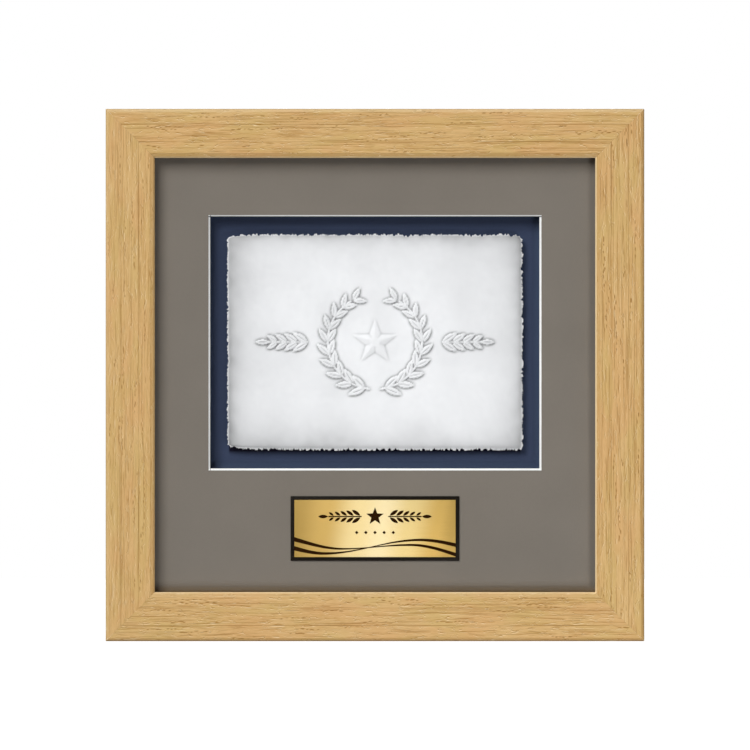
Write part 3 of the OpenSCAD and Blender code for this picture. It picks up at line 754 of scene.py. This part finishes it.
def makeRail(node, turnDegrees, material, seed, railLook):
    shape = railShape
    low, high = cadBounds
    middle = Vector((0, 0, (low.z + high.z) / 2))
    flat = turnDegrees % 180 == 0
    length = high.x - low.x if flat else high.z - low.z
    across = high.z - low.z if flat else high.x - low.x
    nodeLow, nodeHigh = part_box(node)
    width = nodeHigh.z - nodeLow.z if flat else nodeHigh.x - nodeLow.x
    section = railSection(width, nodeHigh.y - nodeLow.y, shape)
    rows = round(length / shape["lengthStep"])
    inward = np.array([point[0] for point in section])
    along = length * (np.arange(rows + 1) / rows - 0.5)
    sunk, ridge = brushedDepth(inward, along, width, seed)
    (slopeWidth, _), (edgeWidth, slopeDepth), (_, edgeDepth) = shape["slope"]
    edgeNoise, lengthNoise = shape["faceNoise"]
    bm = bmesh.new()
    grain = bm.verts.layers.float.new("grain")
    wear = bm.verts.layers.float.new("wear")
    for vertex, column, row in gridOf(bm, len(section), rows):
        column %= len(section)
        toEdge, back = section[column]
        shade = 0.0
        if toEdge >= shape["arris"] / 2 and back <= slopeDepth:
            ease = min(1.0, max(0.0, (width - edgeWidth - toEdge) / shape["faceEase"]))
            if toEdge >= width - slopeWidth:
                ease *= shape["slopeShare"]
            level = noise.noise(Vector((toEdge * edgeNoise, along[row] * lengthNoise, seed)))
            cutIn = max(sunk[row, column] - ridge[row, column] * shape["burrShare"],
                        scoredDepth(toEdge, along[row], width, seed))
            back += ease * (cutIn + shape["faceRough"] * (1 + level) + shape["faceDepth"])
            shade = max(0.0, cutIn) / shape["fullShade"] * ease
        # Painted shade on the outermost edge and the arris, and painted highlight on the arris, as each
        # rail's look gives
        if toEdge < shape["arris"] and back < 2 * shape["arris"]:
            stain = shape["edgePaintedShade"] if toEdge < shape["edgeBand"] else railLook["arrisPaintedShade"]
            shade = max(shade, stain)
            vertex[wear] = railLook["arrisPaintedHighlight"]
        # Painted shade on the slope and at the sight edge; the sight edge's pale tone is partly wear, partly
        # painted highlight
        elif toEdge > width - slopeWidth and back <= edgeDepth:
            shade = max(shade, shape["slopePaintedShade"])
            vertex[wear] = railLook["slopePaintedHighlight"]
            if toEdge > width - edgeWidth and back > slopeDepth:
                shade = railLook["sightPaintedShade"]
                vertex[wear] = railLook["sightWearAndHighlight"]
        vertex[grain] = min(1.0, shade)
        vertex.co = Vector((along[row], nodeLow.y + back, toEdge - across / 2))
    bmesh.ops.remove_doubles(bm, verts=bm.verts, dist=shape["mergeWithin"])
    for end in (-1, 1):
        corner = Vector((end * (length / 2 - shape["mitreGap"]), 0, -across / 2))
        bmesh.ops.bisect_plane(
            bm, geom=bm.verts[:] + bm.edges[:] + bm.faces[:], dist=shape["mitreWithin"],
            plane_co=corner, plane_no=Vector((end, 0, 1)).normalized(), clear_outer=True,
        )
        bmesh.ops.holes_fill(bm, edges=boundaryOf(bm), sides=0)
    bmesh.ops.recalc_face_normals(bm, faces=bm.faces)
    turn = Matrix.Rotation(math.radians(turnDegrees), 3, "Y")
    bmesh.ops.rotate(bm, verts=bm.verts, cent=(0, 0, 0), matrix=turn)
    bmesh.ops.translate(bm, verts=bm.verts, vec=middle)
    name = node.replace("_", "") + "Oak"
    finishPiece(bm, name, material, "frame", [node], shape["sharpAngle"])


# Turn, place in the grain and look of each rail: grain contrast, painted shade on the arris of the bottom and
# right rails and at the left and top sight edges, painted highlight on the arris of the left and top rails
# and on the bottom slope, and a pale sight edge that is partly wear, partly painted highlight
bareRailLook = {"arrisPaintedShade": 0.0, "arrisPaintedHighlight": 0.0, "slopePaintedHighlight": 0.0, "sightPaintedShade": 0.0}
rails = {
    "rail_bottom": (0, (0.31, 0.0, 0.7), {
        "contrast": 1.15, "arrisPaintedShade": 0.36, "slopePaintedHighlight": 0.16, "sightWearAndHighlight": 0.6,
    }),
    "rail_left": (90, (1.7, 0.4, 0.0), {
        "contrast": 0.78, "arrisPaintedHighlight": 0.15, "sightPaintedShade": 0.60, "sightWearAndHighlight": 0.1,
    }),
    "rail_top": (180, (2.9, 0.2, 1.3), {
        "contrast": 1.15, "arrisPaintedHighlight": 0.4, "sightPaintedShade": 0.1, "sightWearAndHighlight": 0.6,
    }),
    "rail_right": (270, (4.1, 0.9, 0.5), {"contrast": 0.95, "arrisPaintedShade": 0.46, "sightWearAndHighlight": 0.9}),
}
for number, (node, (turnDegrees, shift, railLook)) in enumerate(rails.items()):
    oak = makeOak("oak" + str(number), turnDegrees % 180 == 0, shift, railLook["contrast"])
    seed = 10 * number + 3
    makeRail(node, turnDegrees, oak, seed, {**bareRailLook, **railLook})
print("rails made")


# Cast paper: a thick sheet with a torn edge and a raised wreath, star and sprigs

paperShape = {
    "relief": 1.2 * mm,  # the design stands this far in front of the sheet
    "reliefShare": 0.98,
    "step": 0.55 * mm,
    "edgeDrop": 0.45 * mm,  # how far the sheet falls back at its edge
    "edgeBand": 3.0 * mm,
    # Unevenness: the scale and seed of each noise; then in mm how far back the sheet is set
    # and its waves, and the lumps and the pulp on the whole and how much more at the edge
    "waves": (38, 1.5),
    "lumps": (190, 8.5),
    "pulp": (700, 4.5),
    "waveDepth": (0.10, 0.10),
    "lumpDepth": (0.05, 0.10),
    "pulpDepth": (0.02, 0.05),
    # Loose fibres beyond the edge: how far they reach on the whole, and how unevenly
    "fringe": {
        "top": (0.60 * mm, 0.66 * mm), "right": (0.80 * mm, 0.56 * mm),
        "foot": (0.92 * mm, 0.70 * mm), "left": (0.90 * mm, 0.46 * mm),
    },
    # Strength, length and seed of the fibres' noises and of the one that shifts the teeth
    "fibreNoises": ((0.9, 1.4 * mm, 3.5), (1.9, 0.5 * mm, 6.5)),
    "teethNoise": (0.4, 7 * mm, 12.5),
    "fringeSeeds": (2.7, 3.3),  # the first side's, and the step to each next one's
    "fringeLeast": 0.05 * mm,
    # Steady teeth among the fibres: height and spacing
    "teeth": {
        "top": (0.30 * mm, 5.0 * mm), "right": (0.22 * mm, 4.4 * mm),
        "foot": (0.40 * mm, 3.4 * mm), "left": (0.08 * mm, 5.0 * mm),
    },
    "fringeEase": 0.10 * mm,  # the longest fibres are pressed in by about this much
    "fringeTurn": 4.0 * mm,  # the fringe of one side dies away this far round a corner
    # Rings of the torn edge, front to back: share of the fringe, steps inwards and backwards
    # in mm (None goes to the sheet's rear), and tone
    "rings": ((0.6, 0.0, 0.08, 0.77), (0.4, 0.0, 0.14, 0.97), (0.0, 0.3, 0.9, 0.97),
              (0.0, 0.7, None, 0.97)),
    "hollowShade": 2.0,  # painted shade: how much darker the sheet is in the hollows at the foot of the design
    "rimTone": (0.08, 0.5 * mm),  # how much paler the sheet is at its rim, and how wide that is
    "inset": 1.5 * mm,  # room for tears and fringe inside the sheet's whole size
    # Rounding of the four corners: radius for each
    "corners": {
        "topLeft": 2.4 * mm, "topRight": 3.4 * mm, "footLeft": 2.6 * mm, "footRight": 2.4 * mm,
    },
    # How far the top and the foot draw in at the sheet's left end, and over what length
    "narrowing": {"top": (0.9 * mm, 14 * mm), "foot": (1.7 * mm, 12 * mm)},
    # Sway, scallops and notches along each side, and the notches' spacing
    "tears": {
        "top": (0.30 * mm, 0.16 * mm, 0.30 * mm, 1.9 * mm),
        "right": (0.14 * mm, 0.16 * mm, 0.20 * mm, 3.2 * mm),
        "foot": (0.08 * mm, 0.10 * mm, 0.20 * mm, 2.0 * mm),
        "left": (0.12 * mm, 0.12 * mm, 0.20 * mm, 2.6 * mm),
    },
    # Length and seed of the noises of the sway, the scallops and the small nicks
    "tearNoises": ((16 * mm, 0.5), (4.2 * mm, 9.5), (0.9 * mm, 31.5)),
    "notchSeed": 20.5,
    "tearSeeds": (3.1, 4.6),  # the first side's, and the step to each next one's
    "notchFrom": (2.6, 0.35),  # only the noise's highest values make a notch
    "nickShare": 0.3,
    "tearBand": 2.5 * mm,  # the tears move the sheet this far in from its edge
    # Greying towards each side: share lost and how far it reaches, near and far, and how much
    # more it is towards the side's upper or right end
    "fade": {
        "left": (0.36, 4.5 * mm, 0.165, 30.0 * mm, -0.18),
        "right": (0.31, 5.0 * mm, 0.15, 30.0 * mm, 0.16),
        "top": (0.34, 3.1 * mm, 0.10, 22.0 * mm, 0.0),
        "foot": (0.32, 6.0 * mm, 0.06, 20.0 * mm, -0.1),
    },
    "fadeClouds": (0.6, 1.2 * mm),  # how much the waves and the lumps bend it
    "hollowRange": (4, 0.3),  # rounds of smoothing, and the deepest hollow that counts
    "sharpAngle": 75,
    "wreathRadius": 28.5 * mm,
    "wreathPairs": 10,
    "wreathFoot": 12.0,  # degrees left open at the foot and at the mouth
    "wreathMouth": 28.0,
    "leafLength": 11.5 * mm,
    "leafWidth": 4.4 * mm,
    "leafLean": 32.0,
    "leafSizes": {"wreath": (1.0, 0.2), "sprig": (0.95, 0.3)},  # of the first, less at the last
    "leafRib": (0.45, 0.10, 0.92),  # depth, share of the leaf's width, and where the rib ends
    "stemWidth": 1.3 * mm,
    "stemHeight": 0.75,
    "starRadius": 14.5 * mm,
    "starWaist": 0.42,
    "starSlope": 0.24,
    "sprigStart": 40.5 * mm,
    "sprigLength": 24.0 * mm,
    "sprigPairs": 4,
    "sprigTip": (0.96, 0.8),  # place and size of the last leaf
}


def leafRise(x, z, foot, turnDegrees, length, width):
    # A pointed leaf, domed across, with a sunken rib down its middle
    ribDepth, ribWidth, ribEnd = paperShape["leafRib"]
    turn = math.radians(turnDegrees)
    along = ((x - foot[0]) * math.cos(turn) + (z - foot[1]) * math.sin(turn)) / length
    side = -(x - foot[0]) * math.sin(turn) + (z - foot[1]) * math.cos(turn)
    inside = np.clip(along, 0.0, 1.0)
    half = width / 2 * np.sin(np.pi * inside ** 0.85) ** 0.9 + 1e-9
    across = np.abs(side) / half
    rise = np.clip(1 - across ** 4, 0, 1) ** 0.5 * np.clip(half / (0.3 * width), 0, 1)
    rib = ribDepth * np.exp(-((side / (ribWidth * width)) ** 2)) * np.clip(4 * (ribEnd - inside), 0, 1)
    return np.where((along > 0) & (along < 1) & (across < 1), np.clip(rise - rib, 0, 1), 0.0)


def starRise(x, z, radius):
    # Five points with ridges, like a folded star
    step = math.radians(72)
    angle = np.arctan2(x, z)
    folded = np.abs((angle + step / 2) % step - step / 2)
    across, up = np.hypot(x, z) * np.sin(folded), np.hypot(x, z) * np.cos(folded)
    waist = paperShape["starWaist"] * radius
    innerX, innerZ = waist * math.sin(step / 2), waist * math.cos(step / 2)
    edge = math.hypot(innerX, innerZ - radius)
    inside = ((radius - up) * innerX - across * (radius - innerZ)) / edge
    return np.clip(inside / (paperShape["starSlope"] * radius), 0, 1) ** 0.75


def stemRise(away, width):
    return np.sqrt(np.clip(1 - (away / (width / 2)) ** 2, 0, 1)) * paperShape["stemHeight"]


def designRise(x, z, shape):
    # Height of the whole raised design, from 0 on the sheet to 1 at its highest
    rise = starRise(x, z, shape["starRadius"])
    radius, lean = shape["wreathRadius"], shape["leafLean"]
    sweep = 180 - shape["wreathFoot"] - shape["wreathMouth"]
    start, length = shape["sprigStart"], shape["sprigLength"]
    (wreathSize, wreathLess), (sprigSize, sprigLess) = shape["leafSizes"].values()
    tipPlace, tipSize = shape["sprigTip"]
    for side in (-1, 1):
        sx = side * x
        angle = np.degrees(np.arctan2(z, sx))
        onStem = (angle > shape["wreathFoot"] / 2 - 90) & (angle < 88 - shape["wreathMouth"])
        stem = stemRise(np.abs(np.hypot(sx, z) - radius), shape["stemWidth"])
        rise = np.maximum(rise, np.where(onStem, stem, 0))
        leaves = []
        for i in range(shape["wreathPairs"]):
            share = i / (shape["wreathPairs"] - 1)
            at = shape["wreathFoot"] - 90 + sweep * share
            foot = (radius * math.cos(math.radians(at)), radius * math.sin(math.radians(at)))
            size = wreathSize - wreathLess * share
            leaves += [(foot, at + 90 + tilt, size) for tilt in (-lean, lean)]
        # A straight sprig that points outwards beside the wreath
        onStem = (sx > start) & (sx < start + length)
        rise = np.maximum(rise, np.where(onStem, stemRise(np.abs(z), shape["stemWidth"]), 0))
        for i in range(shape["sprigPairs"]):
            share = i / shape["sprigPairs"]
            foot = (start + length * share, 0.0)
            leaves += [(foot, tilt, sprigSize - sprigLess * share) for tilt in (-lean, lean)]
        leaves.append(((start + length * tipPlace, 0.0), 0.0, tipSize))
        for foot, turn, size in leaves:
            leaf = leafRise(sx, z, foot, turn, shape["leafLength"] * size, shape["leafWidth"] * size)
            rise = np.maximum(rise, leaf)
    return rise


def noiseField(points, scale, seed):
    return np.array([noise.noise(Vector((a * scale, b * scale, seed))) for a, b in points])


def noiseAlong(along, length, seed, apart):
    return noise.noise(Vector((along / length, seed, apart)))


def sideSeed(kind, side):
    first, step = paperShape[kind + "Seeds"]
    return first + step * list(paperShape["tears"]).index(side)


def tornEdge(along, side, shape):
    # How far the edge stands out at a place along one side of the sheet
    sway, scallop, notch, spacing = shape["tears"][side]
    seed = sideSeed("tear", side)
    slow, bumps, nick = (noiseAlong(along, length, seed, apart) for length, apart in shape["tearNoises"])
    tooth = noiseAlong(along, spacing, seed, shape["notchSeed"])
    steep, start = shape["notchFrom"]
    out = 2 * sway * slow + scallop * (1 - 3 * abs(bumps))
    return out - notch * max(0.0, steep * tooth - start) + shape["nickShare"] * notch * nick


def roundCorners(x, z, halfWidth, halfHeight, shape):
    # Bends the square corners of the sheet to their own radii
    corners = shape["corners"]
    radius = np.where(
        z > 0,
        np.where(x > 0, corners["topRight"], corners["topLeft"]),
        np.where(x > 0, corners["footRight"], corners["footLeft"]),
    )
    fromX = np.clip((np.abs(x) - halfWidth + radius) / radius, 0, 1)
    fromZ = np.clip((np.abs(z) - halfHeight + radius) / radius, 0, 1)
    newX = fromX * np.sqrt(1 - fromZ ** 2 / 2)
    newZ = fromZ * np.sqrt(1 - fromX ** 2 / 2)
    return (x - np.sign(x) * (fromX - newX) * radius, z - np.sign(z) * (fromZ - newZ) * radius)


def fringeReach(x, z, halfWidth, halfHeight, shape):
    # Which way and how far the torn fibres stand out at a place on the sheet's edge
    shift = Vector((0, 0, 0))
    for side, way, along, inside in (
        ("left", Vector((-1, 0, 0)), z, halfWidth + x), ("right", Vector((1, 0, 0)), z, halfWidth - x),
        ("foot", Vector((0, 0, -1)), x, halfHeight + z), ("top", Vector((0, 0, 1)), x, halfHeight - z),
    ):
        weight = min(1.0, 1.1 - inside / shape["fringeTurn"])
        if weight <= 0:
            continue
        reach, uneven = shape["fringe"][side]
        height, spacing = shape["teeth"][side]
        seed = sideSeed("fringe", side)
        fibres = sum(strength * noiseAlong(along, length, seed, apart)
                     for strength, length, apart in shape["fibreNoises"])
        unsteady, length, apart = shape["teethNoise"]
        turn = along / spacing + unsteady * noiseAlong(along, length, seed, apart)
        tooth = height * (abs(4 * (turn % 1) - 2) - 1)
        room = inside + shape["inset"]
        out = max(reach + uneven * fibres + tooth, shape["fringeLeast"])
        out = room - shape["fringeEase"] * math.log1p(math.exp((room - out) / shape["fringeEase"]))
        shift += weight * out * way
    return shift


def hollows(rise, column, row):
    # How far each place lies below its surroundings, on the grid of the sheet
    table = np.zeros((row.max() + 1, column.max() + 1))
    table[row, column] = rise
    around = table.copy()
    rounds, deepest = paperShape["hollowRange"]
    for _ in range(rounds):
        for axis in (0, 1):
            around = (np.roll(around, 1, axis) + around + np.roll(around, -1, axis)) / 3
    return np.clip(around - table, 0, deepest)[row, column]


def addTornEdge(bm, toneLayer, low, high, halfWidth, halfHeight):
    # A fringe of fibres round the sheet, then its edge back to its rear face
    shape = paperShape
    centre = (low + high) / 2
    bmesh.ops.subdivide_edges(bm, edges=boundaryOf(bm), cuts=2)
    shifts = {}
    for share, inward, back, tone in shape["rings"]:
        rim = boundaryOf(bm)
        before = {tuple(vertex.co): vertex for edge in rim for vertex in edge.verts}
        made = bmesh.ops.extrude_edge_only(bm, edges=rim)["geom"]
        for vertex in (item for item in made if isinstance(item, bmesh.types.BMVert)):
            x, z = vertex.co.x - centre.x, vertex.co.z - centre.z
            source = before[tuple(vertex.co)]
            shift = shifts.get(source) or fringeReach(x, z, halfWidth, halfHeight, shape)
            shifts[vertex] = shift
            # Straight out from the side that the vertex is on, or from both at a corner
            outward = Vector((round(x / halfWidth * 0.51), 0, round(z / halfHeight * 0.51)))
            vertex.co += share * shift - inward * mm * outward
            vertex.co.y = high.y if back is None else min(vertex.co.y + back * mm, high.y)
            vertex[toneLayer] = tone
            vertex.co.x = min(max(vertex.co.x, low.x), high.x)
            vertex.co.z = min(max(vertex.co.z, low.z), high.z)
    bmesh.ops.holes_fill(bm, edges=boundaryOf(bm), sides=0)


def makeCastPaperSheet(material):
    shape = paperShape
    low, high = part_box("cast_paper")
    centre = (low + high) / 2
    halfWidth = (high.x - low.x) / 2 - shape["inset"]
    halfHeight = (high.z - low.z) / 2 - shape["inset"]
    columns = round(2 * halfWidth / shape["step"])
    rows = round(2 * halfHeight / shape["step"])
    bm = bmesh.new()
    toneLayer = bm.verts.layers.float.new("tone")
    grid = gridOf(bm, columns, rows)
    column = np.array([spot[1] for spot in grid])
    row = np.array([spot[2] for spot in grid])
    x = halfWidth * (2 * column / columns - 1)
    z = halfHeight * (2 * row / rows - 1)
    plain = list(zip(x, z))
    waves, lumps, pulp = (noiseField(plain, *shape[key]) for key in ("waves", "lumps", "pulp"))

    # Outline: rounded corners, then the tears along each side
    toSides = {"left": x + halfWidth, "right": halfWidth - x, "foot": z + halfHeight, "top": halfHeight - z}
    px, pz = roundCorners(x, z, halfWidth, halfHeight, shape)
    for side, outwards in (("left", -1), ("right", 1), ("foot", -1), ("top", 1)):
        upright = side in ("left", "right")
        count, line = (rows, row) if upright else (columns, column)
        out = np.array([tornEdge(i * shape["step"], side, shape) for i in range(count + 1)])[line]
        if side in shape["narrowing"]:
            most, reach = shape["narrowing"][side]
            out = out - most * np.exp(-toSides["left"] / reach)
        out = outwards * out * np.clip(1 - toSides[side] / shape["tearBand"], 0, 1) ** 2
        px, pz = (px + out, pz) if upright else (px, pz + out)

    # Front: the raised design, a gently uneven sheet and a thinner rim
    rise = designRise(px, pz, shape)
    toEdge = np.minimum.reduce(list(toSides.values()))
    edge = np.clip(1 - toEdge / shape["edgeBand"], 0, 1)
    y = low.y + shape["relief"] - rise * shape["relief"] * shape["reliefShare"]
    back, wavy = shape["waveDepth"]
    lumpy, lumpyEdge = shape["lumpDepth"]
    fine, fineEdge = shape["pulpDepth"]
    y = y + shape["edgeDrop"] * edge ** 3 + (back + wavy * waves) * mm
    y = y + (lumpy + lumpyEdge * edge) * mm * lumps + (fine + fineEdge * edge) * mm * pulp
    y = np.maximum(y, low.y)

    # Tone: greyer towards the sides, in cloudy bands, and pale again at the torn rim, with painted shade in
    # the hollows at the foot of the design
    tone = np.ones(len(grid))
    bend, shake = shape["fadeClouds"]
    for side, (near, nearReach, far, farReach, lean) in shape["fade"].items():
        distance = np.maximum(toSides[side] * (1 + bend * waves) + shake * lumps, 0)
        share = 1 + lean * (z / halfHeight if side in ("left", "right") else x / halfWidth)
        lost = near * np.exp(-distance / nearReach) + far * np.exp(-distance / farReach)
        tone *= 1 - share * lost
    paler, rimWidth = shape["rimTone"]
    tone = tone + paler * np.clip(1 - toEdge / rimWidth, 0, 1)
    # Painted shade in the hollows at the foot of the design
    tone *= 1 - shape["hollowShade"] * hollows(rise, column, row)
    for i, (vertex, _, _) in enumerate(grid):
        vertex.co = Vector((centre.x + px[i], y[i], centre.z + pz[i]))
        vertex[toneLayer] = float(min(tone[i], 1.0))
    addTornEdge(bm, toneLayer, low, high, halfWidth, halfHeight)
    bmesh.ops.recalc_face_normals(bm, faces=bm.faces)
    sortMesh(bm)
    finishPiece(bm, "castPaperSheet", material, "frame", ["cast_paper"], shape["sharpAngle"])


makeCastPaperSheet(makeCastPaper())
print("cast paper made")


# Plaque: a black plate with a gold plate on it, both with eased edges

plaqueShape = {"easing": 0.16 * mm, "segments": 2, "sharpAngle": 50}


def makePlate(node, name, material):
    low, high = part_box(node)
    bm = bmesh.new()
    bmesh.ops.create_cube(bm, size=1.0)
    bmesh.ops.scale(bm, vec=high - low, verts=bm.verts)
    bmesh.ops.translate(bm, vec=(low + high) / 2, verts=bm.verts)
    bmesh.ops.bevel(
        bm, geom=bm.edges[:], offset=plaqueShape["easing"], affect="EDGES",
        segments=plaqueShape["segments"], profile=0.5, material=-1,
    )
    finishPiece(bm, name, material, "frame", [node], plaqueShape["sharpAngle"])


makePlate("plaque_back", "plaqueBlackPlate", makeBlackPlate())
makePlate("plaque_face", "plaqueGoldPlate", makeGoldPlate(*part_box("plaque_face")))
print("plaque made")


# CAD nodes that keep their shape and get their finish

finishes = [
    (makeGlass(), ["glazing"]),
    (makeMatFacing(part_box("rail_bottom")[1].z), ["window_mat_facing"]),
    (makeMatCore(), ["window_mat_core"]),
    (makeNavyBoard(*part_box("cast_paper")), ["mount_board"]),
    (makeKraft(), ["dust_cover"]),
    (makeFoamBoard(), ["float_riser", "backer_board"] + ["spacer_" + side for side in sides]),
]
finishes += [(makePlain(name, look), look["nodes"]) for name, look in plainLooks.items()]
for material, nodes in finishes:
    for node in nodes:
        dress(node, material)
print("frame nodes dressed:", sum(len(nodes) for _, nodes in finishes))


# Floor, light and background

studio = {
    "floorSize": 3.0,
    "floorGlow": 0.93,
    "floorGrey": 0.16,
    "floorRoughness": 0.9,
    "background": (1.0, 1.0, 1.0),
    "ambient": (0.13, 0.13, 0.135),
    # Width, height, power and place of each light
    "keyLight": (1.9, 2.25, 125.0, (-1.44, -2.75, 2.15)),
    "fillLight": (0.24, 0.14, 4.0, (0.50, -0.95, -0.34)),
    "backLight": (1.4, 1.0, 44.0, (0.5, 2.2, 1.2)),
    "rightLight": (0.9, 1.2, 7.0, (1.5, 0.55, 0.6)),
    "leftLight": (0.9, 1.2, 5.0, (-1.5, 0.55, 0.6)),
}


def makeFloor():
    # Looks like the background and throws no light of its own on the frame
    size = studio["floorSize"]
    bm = bmesh.new()
    bmesh.ops.create_grid(bm, x_segments=4, y_segments=4, size=size / 2)
    mesh = bpy.data.meshes.new("floor")
    bm.to_mesh(mesh)
    bm.free()
    floor = addObject("floor", mesh)
    material, tree = startMaterial("paleFloor")
    glow = add(tree, "Emission", {"Color": opaque(studio["background"]), "Strength": studio["floorGlow"]})
    shader = tree.nodes["Principled BSDF"]
    feed(tree, shader, {"Base Color": opaque(grey(studio["floorGrey"])),
                        "Roughness": studio["floorRoughness"], "Specular IOR Level": 0.0})
    both = add(tree, "AddShader", {0: shader.outputs[0], 1: glow.outputs[0]})
    feed(tree, tree.nodes["Material Output"], {"Surface": both.outputs[0]})
    mesh.materials.append(material)
    floor.visible_diffuse = False
    floor.visible_shadow = False


def makeArea(name):
    width, height, power, spot = studio[name]
    data = bpy.data.lights.new(name, "AREA")
    data.shape = "RECTANGLE"
    data.size = width
    data.size_y = height
    data.energy = power
    light = addObject(name, data)
    light.visible_camera = False
    light.location = spot
    low, high = cadBounds
    light.rotation_euler = ((low + high) / 2 - Vector(spot)).to_track_quat("-Z", "Y").to_euler()


def makeWorld():
    world = bpy.data.worlds.new("studio")
    bpy.context.scene.world = world
    world.use_nodes = True
    tree = world.node_tree
    seen = add(tree, "Background", {"Color": opaque(studio["background"]), "Strength": 1.0})
    soft = tree.nodes["Background"]
    feed(tree, soft, {"Color": opaque(studio["ambient"])})
    direct = add(tree, "LightPath").outputs["Is Camera Ray"]
    both = add(tree, "MixShader", {0: direct, 1: soft.outputs[0], 2: seen.outputs[0]})
    feed(tree, tree.nodes["World Output"], {"Surface": both.outputs[0]})


makeFloor()
for lightName in ("keyLight", "fillLight", "backLight", "rightLight", "leftLight"):
    makeArea(lightName)
makeWorld()
bpy.context.scene.view_settings.view_transform = "Standard"
print("studio made")
